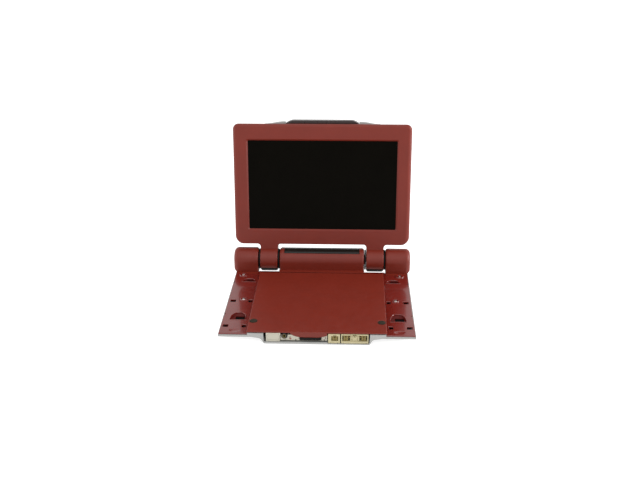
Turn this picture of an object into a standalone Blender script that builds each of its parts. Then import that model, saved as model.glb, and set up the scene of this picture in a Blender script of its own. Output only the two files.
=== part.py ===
"""Portable DVD player, opened, with the trims of its base off.

The base is a silver grey tray under a red shell with two side wings and three hinge knuckles. A raised lid
covers the disc. The screen housing stands on two arms that end in barrels on the hinge axis.

All sizes below are in millimetres and become metres when a mesh is made. In the base, X runs to the right,
Y to the rear and Z up, Y 0 is the plane of the screen hinge and Z 0 is the table. In the screen housing,
Y is the depth behind the hinge plane and Z the distance up the housing from the hinge axis.
"""

import math

import bmesh
import bpy
from mathutils import Vector

MM = 0.001
GAP = 0.3  # air between neighbouring pieces

# Screen hinge
HINGE_Z = 19.96
SCREEN_LEAN = 7.96  # degrees back from upright
KNUCKLE_R = 11.95
KNUCKLE_WALL = 1.8
CENTRE_KNUCKLE_X = 45.24
ARM_X = (47.48, 65.99)
OUTER_KNUCKLE_X = (68.07, 94.42)
SHAFT_R = 3.0
BUSH_R = 5.2
FLANGE_R = 10.8  # the bushes' black flanges fill the gaps beside the arms

# Screen housing
SCREEN_W = 186.0
SCREEN_Z = (18.16, 146.1)
FACE_Y = -3.57
BEZEL_BACK_Y = 2.4
FACE_WALL = 1.5
WINDOW_W = 154.3
WINDOW_Z = (35.35, 128.75)
TOP_CORNER_R = 6.0
BOTTOM_CORNER_R = 8.5
COVER_BACK_Y = 10.2
BAND_BACK_Y = 12.4
BAND_HALF_W = 38.0
BAND_TOP_Z = 149.6

# Base
DECK_HALF_W = 65.55
DECK_Y = (-146.4, -18.9)
DECK_TOP = 12.8
DECK_WALL = 1.4
WING_HALF_W = 91.53
WING_FRONT_Y = -144.4
WING_TOP = 9.59
WING_BOTTOM = 8.3
SLOT_FRONT_Y = -18.4
REAR_Y = 11.95
CASE_HALF_W = 92.0
CASE_FRONT_Y = -145.2
CASE_TOP = 8.0
TUB_BOTTOM = 0.7
FLOOR_TOP = 2.2
POD_BOTTOM = 2.2
POD_FLOOR_TOP = 3.4
FLANGE_BOTTOM = 6.9
BAY_HALF_W = 49.7
LIP_TOP = 2.6

# Disc and drive
DISC_Y = -80.6
WELL_R = 61.5
WELL_FLOOR = (7.2, 8.2)
LID_AXIS = (-20.4, 10.1)  # Y and Z of the disc lid's hinge rod
LUG_X = (25.0, 29.0)  # the shell's two lugs that hold the rod
LUG_R = 1.5
ROD_X = 24.8
ROD_Z = 4.0
ROD_R = 0.75
LEAD_X = -18.5
LEAD_Z = 5.2
LEAD_R = 1.1
LENS_Y = DISC_Y + 23.5
PLATE_Z = (5.6, 6.6)  # the drive chassis's plate
DRIVE_OPENING_X = 22.4

# Places of repeated pieces, mirrored to both sides
WING_SLOTS = ((86.5, -78.2, 5.0), (69.2, -78.2, 4.0), (86.5, -129.0, 5.0), (69.2, -129.0, 4.0))
WING_SCREW = (76.3, -74.7)
REAR_SCREW = (83.0, -19.5)
SPEAKER_PORT = (77.3, -109.7)
REAR_PORT = (75.5, -32.0)
BUMPER = (60.5, -124.0)
CASE_SCREWS = ((80.0, -126.0, 2.4), (36.0, 8.0, 0.9))  # x, y and the head's underside
FEET = ((41.0, -134.0), (41.0, -30.0))
DAMPERS = ((28.8, -93.5), (28.8, -13.0))

LOOKS = {  # colour, roughness, metallic
    "red_matte": ((0.19, 0.040, 0.028), 0.55, 0.0),
    "red_gloss": ((0.22, 0.015, 0.014), 0.22, 0.0),
    "silver": ((0.36, 0.36, 0.35), 0.38, 0.0),
    "black_gloss": ((0.012, 0.012, 0.011), 0.12, 0.0),
    "black_matte": ((0.02, 0.02, 0.02), 0.6, 0.0),
    "rubber": ((0.03, 0.03, 0.032), 0.8, 0.0),
    "steel": ((0.55, 0.55, 0.56), 0.3, 1.0),
    "cream": ((0.62, 0.56, 0.36), 0.45, 0.0),
    "white": ((0.75, 0.74, 0.70), 0.5, 0.0),
    "board": ((0.03, 0.16, 0.07), 0.5, 0.0),
    "battery": ((0.30, 0.31, 0.34), 0.4, 0.0),
    "led": ((0.6, 0.03, 0.02), 0.3, 0.0),
    "lens": ((0.35, 0.45, 0.7), 0.05, 0.0),
}


# ---------------------------------------------------------------- outlines and shapes


def arc(centre, radius, start, end, steps):
    """Points on an arc, from start to end in degrees."""
    angles = (math.radians(start + (end - start) * i / steps) for i in range(steps + 1))
    return [(centre[0] + radius * math.cos(a), centre[1] + radius * math.sin(a)) for a in angles]


def rounded(half_width, low, high, low_radius, high_radius, steps=4):
    """A rectangle centred on the first axis with round corners, counterclockwise."""
    points = arc((half_width - low_radius, low + low_radius), low_radius, -90, 0, steps)
    points += arc((half_width - high_radius, high - high_radius), high_radius, 0, 90, steps)
    points += arc((high_radius - half_width, high - high_radius), high_radius, 90, 180, steps)
    points += arc((low_radius - half_width, low + low_radius), low_radius, 180, 270, steps)
    return points


def on_axis(axis, point, along):
    """A point of an outline, placed at a distance along the axis it is extruded on."""
    first, second = point
    return {"X": (along, first, second), "Y": (first, along, second), "Z": (first, second, along)}[axis]


def loft(axis, *sections):
    """A closed solid through sections of (distance along the axis, outline), capped at both ends."""
    shape = bmesh.new()
    rings = [[shape.verts.new(on_axis(axis, p, along)) for p in outline] for along, outline in sections]
    for low, high in zip(rings, rings[1:]):
        for i in range(len(low)):
            j = (i + 1) % len(low)
            shape.faces.new((low[i], low[j], high[j], high[i]))
    shape.faces.new(rings[0])
    shape.faces.new(rings[-1])
    bmesh.ops.recalc_face_normals(shape, faces=shape.faces)
    return shape


def prism(axis, outline, low, high):
    return loft(axis, (low, outline), (high, outline))


def box(x, y, z):
    corners = [(x[0], y[0]), (x[1], y[0]), (x[1], y[1]), (x[0], y[1])]
    return prism("Z", corners, z[0], z[1])


def tapered(low_x, low_y, low_z, high_x, high_y, high_z):
    """A box whose top and bottom differ in size."""
    low = [(low_x[0], low_y[0]), (low_x[1], low_y[0]), (low_x[1], low_y[1]), (low_x[0], low_y[1])]
    high = [(high_x[0], high_y[0]), (high_x[1], high_y[0]),
            (high_x[1], high_y[1]), (high_x[0], high_y[1])]
    return loft("Z", (low_z, low), (high_z, high))


def cylinder(axis, centre, radius, low, high, sides=24):
    return prism(axis, arc(centre, radius, 0, 360 * (sides - 1) / sides, sides - 1), low, high)


def span(side, low, high):
    """The interval from low to high on the right side, or its mirror image on the left."""
    return (low, high) if side > 0 else (-high, -low)


# ---------------------------------------------------------------- objects


def look(name):
    colour, roughness, metallic = LOOKS[name]
    material = bpy.data.materials.new(name)
    material.use_nodes = True
    shader = material.node_tree.nodes["Principled BSDF"]
    shader.inputs["Base Color"].default_value = (*colour, 1.0)
    shader.inputs["Roughness"].default_value = roughness
    shader.inputs["Metallic"].default_value = metallic
    return material


def pivot(name, place, parent=None, lean=0.0):
    """An empty on a joint's axis, which carries the pieces that move with it."""
    empty = bpy.data.objects.new(name, None)
    empty.location = Vector(place) * MM
    empty.rotation_euler.x = -math.radians(lean)
    empty.parent = parent
    bpy.context.scene.collection.objects.link(empty)
    return empty


def mesh_object(name, shape, parent, start):
    """An object made from a shape in millimetres, whose own origin is at start."""
    for vertex in shape.verts:
        vertex.co = (vertex.co - Vector(start)) * MM
    mesh = bpy.data.meshes.new(name)
    shape.to_mesh(mesh)
    shape.free()
    obj = bpy.data.objects.new(name, mesh)
    obj.parent = parent
    bpy.context.scene.collection.objects.link(obj)
    return obj


def piece(name, shape, finish, parent, start=(0, 0, 0)):
    """One sub-part, with its own material."""
    obj = mesh_object(name, shape, parent, start)
    obj.data.materials.append(look(finish))
    obj.data.shade_smooth()
    obj.data.set_sharp_from_angle(angle=math.radians(35))
    obj["start"] = start
    return obj


def combine(obj, shape, operation):
    tool = mesh_object(f"{obj.name}_tool_{len(obj.modifiers) + 1}", shape, obj.parent, obj["start"])
    tool.hide_render = True
    tool.display_type = "WIRE"
    modifier = obj.modifiers.new(operation.title(), "BOOLEAN")
    modifier.operation = operation
    modifier.solver = "EXACT"
    modifier.object = tool


def add(obj, *shapes):
    for shape in shapes:
        combine(obj, shape, "UNION")


def cut(obj, *shapes):
    for shape in shapes:
        combine(obj, shape, "DIFFERENCE")


def screw(name, place, head_bottom, head_top, tip, parent):
    """A pan head screw along Z: its head between two heights and its thread down or up to the tip."""
    x, y = place
    obj = piece(name, cylinder("Z", (x, y), 2.0, head_bottom, head_top, 16), "steel", parent)
    inner = (head_bottom + head_top) / 2
    add(obj, cylinder("Z", (x, y), 1.1, min(tip, inner), max(tip, inner), 10))
    socket = 0.45
    if tip > head_top:
        slot_z = (head_bottom - GAP, head_bottom + socket)
    else:
        slot_z = (head_top - socket, head_top + GAP)
    cut(obj, box((x - 1.3, x + 1.3), (y - 0.3, y + 0.3), slot_z))
    return obj


# ---------------------------------------------------------------- base


def plan_outline(half_width, front, rear, slot_inner, slot_outer, slot_front):
    """The plan of the base, with the two hinge slots open at the rear."""
    right = [(half_width, front), (half_width, rear), (slot_outer, rear), (slot_outer, slot_front)]
    right += [(slot_inner, slot_front), (slot_inner, rear)]
    return right + [(-x, y) for x, y in reversed(right)]


def make_bottom_case(base):
    flange = plan_outline(CASE_HALF_W, CASE_FRONT_Y, 11.6, 44.9, 68.4, -18.7)
    case = piece("bottom_case", prism("Z", flange, FLANGE_BOTTOM - 0.1, CASE_TOP), "silver", base)
    tub_y = (CASE_FRONT_Y, -19.6)
    add(case, tapered((-50, 50), tub_y, TUB_BOTTOM, (-57.4, 57.4), tub_y, FLANGE_BOTTOM))
    add(case, box((-44.9, 44.9), (-20.5, 11.6), (TUB_BOTTOM, 7.5)))
    for side in (1, -1):
        add(
            case,
            tapered(
                span(side, 60, 88.8), (-132, -26), POD_BOTTOM,
                span(side, 56, 91.7), (-144.8, -20), FLANGE_BOTTOM
            ),
            tapered(
                span(side, 70, 88.8), (-30, 8), POD_BOTTOM,
                span(side, 68.6, 91.7), (-30, 11.4), FLANGE_BOTTOM
            ),
        )
    over = CASE_TOP + 0.2
    cut(
        case,
        tapered((-48.5, 48.5), (-143.7, -21), FLOOR_TOP, (-56.4, 56.4), (-143.7, -21), over),
        box((-90.6, 90.6), (-143.4, -21), (FLANGE_BOTTOM, over)),
        box((-43.4, 43.4), (-22, 10.1), (FLOOR_TOP, over)),
        box((-BAY_HALF_W + 0.1, BAY_HALF_W - 0.1), (CASE_FRONT_Y - 1, -143), (LIP_TOP, over)),
    )
    for side in (1, -1):
        cut(
            case,
            tapered(
                span(side, 61, 87.6), (-130.6, -27), POD_FLOOR_TOP,
                span(side, 57.8, 90.3), (-143.2, -21.5), over
            ),
            box(span(side, 71, 87.5), (-28, 7.5), (POD_FLOOR_TOP + 0.05, over)),
        )
        for x, y, head in CASE_SCREWS:
            cut(case, cylinder("Z", (side * x, y), 2.3, head - 1, head + 1.6, 16))
        for x, y in FEET:
            cut(case, cylinder("Z", (side * x, y), 4.5, TUB_BOTTOM - 0.2, 0.95 + GAP, 20))
    return case


def knuckle_profile(radius, bottom):
    return [(-radius, bottom)] + arc((0, HINGE_Z), radius, 180, 0, 18) + [(radius, bottom)]


def port_outline(centre, half_width, front, rear):
    """A D shape: straight at the front, round at the rear."""
    x, y = centre
    height = rear - front
    curve = [(x + half_width * math.cos(a), y + front + height * math.sin(a)) for a in
             (math.pi * i / 10 for i in range(11))]
    return curve


def make_top_shell(base):
    plan = plan_outline(WING_HALF_W, WING_FRONT_Y, 11.0, CENTRE_KNUCKLE_X, OUTER_KNUCKLE_X[0], SLOT_FRONT_Y)
    shell = piece("top_shell", prism("Z", plan, WING_BOTTOM, WING_TOP), "red_gloss", base)
    centre = (-CENTRE_KNUCKLE_X, CENTRE_KNUCKLE_X)
    add(
        shell,
        prism("X", knuckle_profile(KNUCKLE_R, WING_BOTTOM + 0.3), *centre),
        box(centre, (SLOT_FRONT_Y + 0.05, -5), (WING_BOTTOM + 0.3, DECK_TOP)),
        cylinder("Z", (0, DISC_Y), WELL_R + 1.2, WELL_FLOOR[0], WING_BOTTOM + 0.4, 64),
    )
    for side in (1, -1):
        add(shell, prism("X", knuckle_profile(KNUCKLE_R, WING_BOTTOM + 0.3), *span(side, *OUTER_KNUCKLE_X)))
    inner = KNUCKLE_R - KNUCKLE_WALL
    cut(
        shell,
        prism("X", knuckle_profile(inner, WING_BOTTOM - 0.3), -43.4, 43.4),
        box((-43.4, 43.4), (-16.3, 0), (WING_BOTTOM - 0.3, DECK_TOP - 1.4)),
        cylinder("Z", (0, DISC_Y), WELL_R, WELL_FLOOR[1], 10.5, 64),
        box((-BAY_HALF_W, BAY_HALF_W), (-150, -131.5), (WELL_FLOOR[0] - 0.2, 10)),
        box((-DRIVE_OPENING_X, DRIVE_OPENING_X), (-97, -17.2), (WELL_FLOOR[0] - 0.2, 8.7)),
        cylinder("X", LID_AXIS, 3.45, -46, 46, 32),
    )
    rod_y, rod_z = LID_AXIS
    for side in (1, -1):
        add(
            shell,
            box(span(side, *LUG_X), (rod_y - 4.2, rod_y + 4.2), (WING_BOTTOM, WING_BOTTOM + 0.7)),
            box(span(side, *LUG_X), (rod_y - LUG_R, rod_y + LUG_R), (WING_BOTTOM, rod_z)),
            cylinder("X", LID_AXIS, LUG_R, *span(side, *LUG_X), 24),
        )
    cut(shell, cylinder("X", LID_AXIS, 0.8, -31, 31, 12))
    recess = arc((0, HINGE_Z), KNUCKLE_R - 1.05, 57, 123, 12)
    recess += arc((0, HINGE_Z), KNUCKLE_R + 1, 123, 57, 12)
    cut(shell, prism("X", recess, -40.3, 40.3))
    for side in (1, -1):
        cut(
            shell,
            prism("X", knuckle_profile(inner, WING_BOTTOM - 0.3), *span(side, 69.9, 89.9)),
            cylinder("X", (0, HINGE_Z), BUSH_R + GAP, *span(side, 42, 46), 20),
            cylinder("X", (0, HINGE_Z), BUSH_R + GAP, *span(side, 67, 71), 20),
            prism("Z", port_outline((side * SPEAKER_PORT[0], SPEAKER_PORT[1]), 7.5, -6.8, 7.1), 8, 10),
            prism("Z", port_outline((side * REAR_PORT[0], REAR_PORT[1]), 6.5, -3.5, 3.0), 8, 10),
            cylinder("Z", (side * WING_SCREW[0], WING_SCREW[1]), 2.3, 8, 10, 16),
            cylinder("Z", (side * REAR_SCREW[0], REAR_SCREW[1]), 2.3, 8, 10, 16),
        )
        under = [(WING_HALF_W, 8.0), (95.0, 8.0), (95.0, 12.6), (WING_HALF_W, WING_TOP)]
        cut(shell, prism("Y", [(side * x, z) for x, z in under], -13, 13))
        for x, y, width in WING_SLOTS:
            cut(shell, box(span(side, x - width / 2, x + width / 2), (y - 2.5, y + 2.5), (8, 10)))
    return shell


def make_knuckle_window(base):
    inner = arc((0, HINGE_Z), KNUCKLE_R - 0.75, 60, 120, 12)
    section = inner + arc((0, HINGE_Z), KNUCKLE_R + 0.05, 120, 60, 12)
    piece("knuckle_window", prism("X", section, -40, 40), "black_gloss", base)


def make_hinge_parts(base, screen):
    axis = (0, HINGE_Z)
    for side, word in ((1, "right"), (-1, "left")):
        piece(f"hinge_shaft_{word}", cylinder("X", (0, 0), SHAFT_R, *span(side, 36.5, 74), 20), "steel", screen)
        for place, sleeve, flange in (("inner", (42.0, 46.9), (45.6, 47.1)), ("outer", (66.5, 71.5), (66.3, 67.7))):
            name = f"hinge_bush_{place}_{word}"
            bush = piece(name, cylinder("X", axis, BUSH_R, *span(side, *sleeve), 20), "black_matte", base)
            add(bush, cylinder("X", axis, FLANGE_R, *span(side, *flange), 32))
            cut(bush, cylinder("X", axis, SHAFT_R + GAP, *span(side, sleeve[0] - 1, sleeve[1] + 1), 20))
        ear_x = span(side, 38, 39.5)
        bracket = piece(f"hinge_bracket_{word}", box(ear_x, (-5, 5), (2.5, HINGE_Z)), "steel", base)
        add(
            bracket,
            cylinder("X", axis, 6.2, *ear_x, 20),
            box(span(side, 31.9, 39.5), (-5, 5), (2.5, 3.8)),
        )
        cut(bracket, cylinder("X", axis, SHAFT_R + GAP, *span(side, 37, 41), 20))


def make_drive(base, turntable, lead_screw, pickup, lens):
    chassis = piece("drive_chassis", box((-31.5, 31.5), (-97, -8.5), PLATE_Z), "steel", base)
    front_wall, rear_wall = (-70.2, -68.6), (-10.9, -9.3)
    add(chassis, box((-27, 27), front_wall, (3.0, 5.8)), box((-27, 27), rear_wall, (3.0, 5.8)))
    cut(
        chassis,
        cylinder("Z", (0, DISC_Y), 12.4, 2, 7, 32),
        box((-22.2, 22.2), (-67.9, -11.5), (5.5, 6.8)),
        box((-22.2, -14.6), (-90, -67), (5.81, 6.8)),
        box((-22.2, -14.6), (-90, -70.5), (5.5, 6.8)),
        cylinder("Y", (LEAD_X, LEAD_Z), LEAD_R + 0.4, -71, -9, 12),
    )
    motor = piece("spindle_motor", cylinder("Z", (0, DISC_Y), 12, 2.6, 7.3, 32), "steel", base)
    cut(motor, cylinder("Z", (0, DISC_Y), 1.4, 4, 8, 12))
    for number, (x, y) in enumerate([(s * x, y) for x, y in DAMPERS for s in (1, -1)], 1):
        piece(f"rubber_damper_{number}", cylinder("Z", (x, y), 2.2, 2.5, 5.3, 12), "rubber", base)
    for side, word in ((1, "right"), (-1, "left")):
        at = (side * ROD_X, ROD_Z)
        cut(chassis, cylinder("Y", at, ROD_R + GAP, -71, -9, 12))
        piece(f"guide_rod_{word}", cylinder("Y", at, ROD_R, -69.9, -9.6, 12), "steel", base)
    piece("sled_motor", cylinder("Y", (LEAD_X, LEAD_Z), 2.7, -84, -71.1, 20), "steel", base)

    disc_at = (0, DISC_Y, 0)
    plate = cylinder("Z", (0, DISC_Y), 13.5, 7.8, 8.9, 32)
    hub = piece("turntable", plate, "black_matte", turntable, disc_at)
    tip = arc((0, DISC_Y), 6.2, 0, 345, 23)
    foot = arc((0, DISC_Y), 7.3, 0, 345, 23)
    add(
        hub,
        cylinder("Z", (0, DISC_Y), 1.0, 4.3, 8.2, 12),
        loft("Z", (8.5, foot), (10.1, foot), (11.0, tip)),
    )
    mat = cylinder("Z", (0, DISC_Y), 13.2, 9.2, 9.6, 32)
    pad = piece("turntable_pad", mat, "rubber", turntable, disc_at)
    cut(pad, cylinder("Z", (0, DISC_Y), 8.4, 9, 10, 32))

    screw_at = (LEAD_X, 0, LEAD_Z)
    shaft = cylinder("Y", (LEAD_X, LEAD_Z), LEAD_R, -70.8, -9.6, 12)
    piece("lead_screw", shaft, "steel", lead_screw, screw_at)

    sled_at = (0, LENS_Y, ROD_Z)
    sled = piece("pickup_sled", box((-26.6, 26.6), (-67.6, -48), (2.6, 5.3)), "black_matte", pickup, sled_at)
    add(sled, box((-21.5, 14), (-66.8, -49), (5.0, 6.9)))
    for side in (1, -1):
        cut(sled, cylinder("Y", (side * ROD_X, ROD_Z), ROD_R + GAP, -69, -47, 12))
    cut(sled, cylinder("Y", (LEAD_X, LEAD_Z), LEAD_R + GAP, -69, -47, 12))
    piece("objective_lens", cylinder("Z", (0, LENS_Y), 3.0, 7.3, 8.2, 20), "lens", lens, (0, LENS_Y, 7.3))


def make_electronics(base):
    piece("main_board", box((-47, 47), (-141.0, -99), (2.5, 3.5)), "board", base)
    battery = prism("Y", rounded(7.25, 2.5, 6.9, 1.2, 1.2, 3), -97, -25)
    bmesh.ops.translate(battery, verts=battery.verts, vec=(39.75, 0, 0))
    piece("battery_pack", battery, "battery", base)
    for side, word in ((1, "right"), (-1, "left")):
        speaker = prism("Z", rounded(9.3, -7.3, 7.3, 6, 6, 4), 3.7, 5.6)
        place = (side * SPEAKER_PORT[0], SPEAKER_PORT[1])
        bmesh.ops.translate(speaker, verts=speaker.verts, vec=(*place, 0))
        speaker = piece(f"speaker_{word}", speaker, "black_matte", base)
        cut(speaker, cylinder("Z", place, 5.6, 5.0, 6, 24))


def make_front_bay(base, latch):
    face = -144.7
    piece("socket_block", box((-47.4, -33.9), (face, -133), (3.8, 10.9)), "white", base)
    jack_at = (-30.2, 8.0)
    jack = piece("headphone_jack", cylinder("Y", jack_at, 2.9, face - 0.2, -134, 24), "black_matte", base)
    cut(jack, cylinder("Y", jack_at, 1.75, face - 1, -137, 16))
    piece("front_board", box((-27, 9.9), (-142.4, -141.4), (2.75, 8.9)), "white", base)
    piece("status_led", box((-24.6, -22.8), (-143.3, -142.7), (4.8, 6.4)), "led", base)
    two_pin = piece("connector_two_pin", box((10.7, 21.9), (face, -141.2), (3.8, 10.7)), "cream", base)
    cut(two_pin, box((12.2, 20.4), (face - 1, -142.4), (5.2, 9.4)))
    six_pin = piece("connector_six_pin", box((22.8, 48.4), (face, -137.9), (3.8, 10.7)), "cream", base)
    cut(six_pin, box((24.2, 47.0), (face - 1, -139.4), (5.0, 9.5)))
    piece("lid_latch", box((-15.8, 4.2), (face, -142.8), (4.1, 6.6)), "black_matte", latch)


def make_fasteners(base):
    for side, word in ((1, "right"), (-1, "left")):
        for name, (x, y) in (("wing_screw", WING_SCREW), ("rear_screw", REAR_SCREW)):
            screw(f"{name}_{word}", (side * x, y), 8.5, 9.4, 3.8, base)
        for place, (x, y, head) in zip(("front", "rear"), CASE_SCREWS):
            screw(f"case_screw_{place}_{word}", (side * x, y), head, head + 0.9, 7.9, base)
        for place, (x, y) in zip(("front", "rear"), FEET):
            foot = cylinder("Z", (side * x, y), 4.2, 0, 0.95, 20)
            piece(f"rubber_foot_{place}_{word}", foot, "rubber", base)
    piece("lid_hinge_rod", cylinder("X", LID_AXIS, 0.5, -34.4, 34.4, 10), "steel", base)


# ---------------------------------------------------------------- disc lid


def make_disc_lid(hinge):
    start = (0, *LID_AXIS)
    middle = (DECK_Y[0] + DECK_Y[1]) / 2
    half = (DECK_Y[1] - DECK_Y[0]) / 2
    plan = [(x, y + middle) for x, y in rounded(DECK_HALF_W, -half, half, 1.5, 0.8, 3)]
    lid = piece("disc_lid", prism("Z", plan, DECK_TOP - DECK_WALL, DECK_TOP), "red_matte", hinge, start)
    tab = [(-24.8, 11.6), (-23.2, 9.6), (-20.6, 8.0), (-17.0, 7.0), (7.6, 7.0), (9.3, 8.4), (9.3, 11.6)]
    add(lid, prism("Y", tab, DECK_Y[0], DECK_Y[0] + 1.3))
    for side in (1, -1):
        add(
            lid,
            box(
                span(side, DECK_HALF_W - DECK_WALL, DECK_HALF_W), (DECK_Y[0] + 1, LID_AXIS[0] - 0.4), (9.9, 11.6)
            ),
            box(span(side, 29.6, 33.6), (LID_AXIS[0] - 1.5, LID_AXIS[0] + 1.2), (8.9, 11.6)),
        )
        cut(lid, cylinder("X", LID_AXIS, LUG_R + GAP, *span(side, LUG_X[0] - 0.4, LUG_X[1] + 0.4), 24))
        cut(lid, cylinder("Z", (side * BUMPER[0], BUMPER[1]), 4.3, 12.1, 13.5, 24))
        word = "right" if side > 0 else "left"
        bumper = cylinder("Z", (side * BUMPER[0], BUMPER[1]), 4.0, 12.4, 13.3, 24)
        piece(f"lid_bumper_{word}", bumper, "rubber", hinge, start)
    cut(lid, cylinder("X", LID_AXIS, 0.8, -35, 35, 12))


# ---------------------------------------------------------------- screen housing


def housing_outline(inset):
    return rounded(
        SCREEN_W / 2 - inset, SCREEN_Z[0] + inset, SCREEN_Z[1] - inset,
        max(BOTTOM_CORNER_R - inset, 1.0), max(TOP_CORNER_R - inset, 1.0)
    )


def make_bezel(screen):
    body = loft(
        "Y", (FACE_Y, housing_outline(1.6)), (FACE_Y + 1.0, housing_outline(0.5)),
        (FACE_Y + 2.6, housing_outline(0)), (BEZEL_BACK_Y, housing_outline(0))
    )
    bezel = piece("front_bezel", body, "red_matte", screen)
    for side in (1, -1):
        arm = span(side, *ARM_X)
        add(
            bezel,
            cylinder("X", (0, 0), KNUCKLE_R, *arm, 40),
            box(arm, (FACE_Y, 7.5), (5, SCREEN_Z[0] - GAP)),
            box(arm, (FACE_Y, BEZEL_BACK_Y), (15, SCREEN_Z[0] + 1.8)),
        )
    half = WINDOW_W / 2
    cut(
        bezel,
        prism("Y", housing_outline(2.2), FACE_Y + FACE_WALL, BEZEL_BACK_Y + 1),
        box((-half, half), (FACE_Y - 1, BEZEL_BACK_Y), WINDOW_Z),
    )
    for side in (1, -1):
        cut(bezel, cylinder("X", (0, 0), SHAFT_R + GAP, *span(side, 46, 67), 20))


def make_back_cover(screen):
    body = loft(
        "Y", (BEZEL_BACK_Y + GAP, housing_outline(0)), (5.5, housing_outline(0.4)),
        (8.2, housing_outline(4)), (COVER_BACK_Y, housing_outline(13))
    )
    cover = piece("back_cover", body, "silver", screen)
    top = SCREEN_Z[1]
    half = [(57, top - 6), (57, top - 1), (39.5, top + 1.8)]
    shoulder = half + [(-x, z) for x, z in reversed(half)]
    add(
        cover,
        prism("Y", shoulder, 4.2, 8.3),
        box((-BAND_HALF_W, BAND_HALF_W), (7, COVER_BACK_Y), (24, top + 1.8)),
    )
    cut(
        cover,
        loft(
            "Y", (BEZEL_BACK_Y, housing_outline(1.8)), (5.5, housing_outline(2.2)), (8.8, housing_outline(14))
        ),
    )


def make_centre_band(screen):
    low = BAND_TOP_Z - 1.4
    front = COVER_BACK_Y + GAP
    back = [(front, 24), (BAND_BACK_Y, 25.5), (BAND_BACK_Y, BAND_TOP_Z - 1), (front, BAND_TOP_Z - 0.5)]
    band = piece("centre_band", prism("X", back, 0.5 - BAND_HALF_W, BAND_HALF_W - 0.5), "black_gloss", screen)
    half = [(BAND_HALF_W, low), (BAND_HALF_W - 0.6, low + 0.4), (31.4, BAND_TOP_Z)]
    cap = half + [(-x, z) for x, z in reversed(half)]
    add(band, prism("Y", cap, 4.2, BAND_BACK_Y - 0.6))


def make_screen(screen):
    make_bezel(screen)
    make_back_cover(screen)
    make_centre_band(screen)
    middle = (WINDOW_Z[0] + WINDOW_Z[1]) / 2
    front = FACE_Y + FACE_WALL + GAP
    piece("lcd_panel", box((-82.4, 82.4), (front, 0.6), (middle - 50, middle + 50)), "black_gloss", screen)
    piece("backlight", box((-81, 81), (0.9, 3.9), (middle - 49, middle + 49)), "white", screen)
    piece("screen_board", box((-60, 60), (4.2, 5.4), (45, 95)), "board", screen)


# ---------------------------------------------------------------- whole player


def clear_scene():
    for obj in list(bpy.data.objects):
        bpy.data.objects.remove(obj, do_unlink=True)


def centre_on_plan(player):
    """Moves the whole player so that the middle of its plan is the origin, to a tenth of a millimetre."""
    bpy.context.view_layer.update()
    graph = bpy.context.evaluated_depsgraph_get()
    reach = []
    for obj in bpy.context.scene.objects:
        if obj.type == "MESH" and not obj.hide_render:
            evaluated = obj.evaluated_get(graph)
            reach += [(evaluated.matrix_world @ vertex.co).y for vertex in evaluated.data.vertices]
    player.location.y = -round((min(reach) + max(reach)) / 2, 4)


def main():
    clear_scene()
    player = pivot("player", (0, 0, 0))
    screen = pivot("screen_hinge_axis", (0, 0, HINGE_Z), player, SCREEN_LEAN)
    lid = pivot("disc_lid_axis", (0, *LID_AXIS), player)
    latch = pivot("latch_guide", (0, 0, 0), player)
    turntable = pivot("spindle_axis", (0, DISC_Y, 0), player)
    lead_screw = pivot("lead_screw_axis", (LEAD_X, 0, LEAD_Z), player)
    pickup = pivot("pickup_slide", (0, LENS_Y, ROD_Z), player)
    lens = pivot("lens_focus", (0, LENS_Y, 7.3), player)
    make_bottom_case(player)
    make_top_shell(player)
    make_knuckle_window(player)
    make_hinge_parts(player, screen)
    make_drive(player, turntable, lead_screw, pickup, lens)
    make_electronics(player)
    make_front_bay(player, latch)
    make_fasteners(player)
    make_disc_lid(lid)
    make_screen(screen)
    centre_on_plan(player)


main()
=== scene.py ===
import math

import bmesh
import bpy
from mathutils import Matrix, Vector


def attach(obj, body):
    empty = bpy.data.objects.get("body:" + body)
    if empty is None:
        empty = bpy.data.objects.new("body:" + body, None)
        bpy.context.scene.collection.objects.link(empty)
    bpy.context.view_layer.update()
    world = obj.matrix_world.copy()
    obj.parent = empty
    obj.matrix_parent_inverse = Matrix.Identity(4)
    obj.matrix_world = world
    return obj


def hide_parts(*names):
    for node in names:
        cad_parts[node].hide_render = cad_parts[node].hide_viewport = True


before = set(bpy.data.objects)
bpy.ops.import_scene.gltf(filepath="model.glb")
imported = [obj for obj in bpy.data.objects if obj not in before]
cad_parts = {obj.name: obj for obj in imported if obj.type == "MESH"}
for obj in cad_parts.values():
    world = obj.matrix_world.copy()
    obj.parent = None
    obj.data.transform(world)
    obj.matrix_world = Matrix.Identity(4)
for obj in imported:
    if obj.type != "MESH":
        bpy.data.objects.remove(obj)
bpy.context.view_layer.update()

# Lengths below are millimetres. In the base Y 0 is the hinge plane and Z 0 the table. In the screen housing
# Y is the depth behind the hinge plane and Z the height above the hinge axis.
HINGE_Z = 19.96
KNUCKLE_R = 12.35
TO_METRES = Matrix.Diagonal((0.001, 0.001, 0.001, 1.0))
BASE = Matrix.Translation((0, 0.0568, 0)) @ TO_METRES
SCREEN = Matrix.Translation((0, 0.0568, HINGE_Z / 1000)) @ Matrix.Rotation(-math.radians(7.96), 4, "X") @ TO_METRES

SCREEN_HALF_W = 93.0
SCREEN_Z = (17.4, 146.1)
FACE_Y = -3.57
BEZEL_BACK_Y = 2.4
WINDOW = (-77.3, 77.9, 34.4, 128.75)
ARM_X = (47.48, 65.99)
SHADE_LINER_TURN = (219.0, 335.0)  # the black lining under each arm's barrel, painted shade of the slot under the arm
BAND_TOP_Z = 149.6

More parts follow.
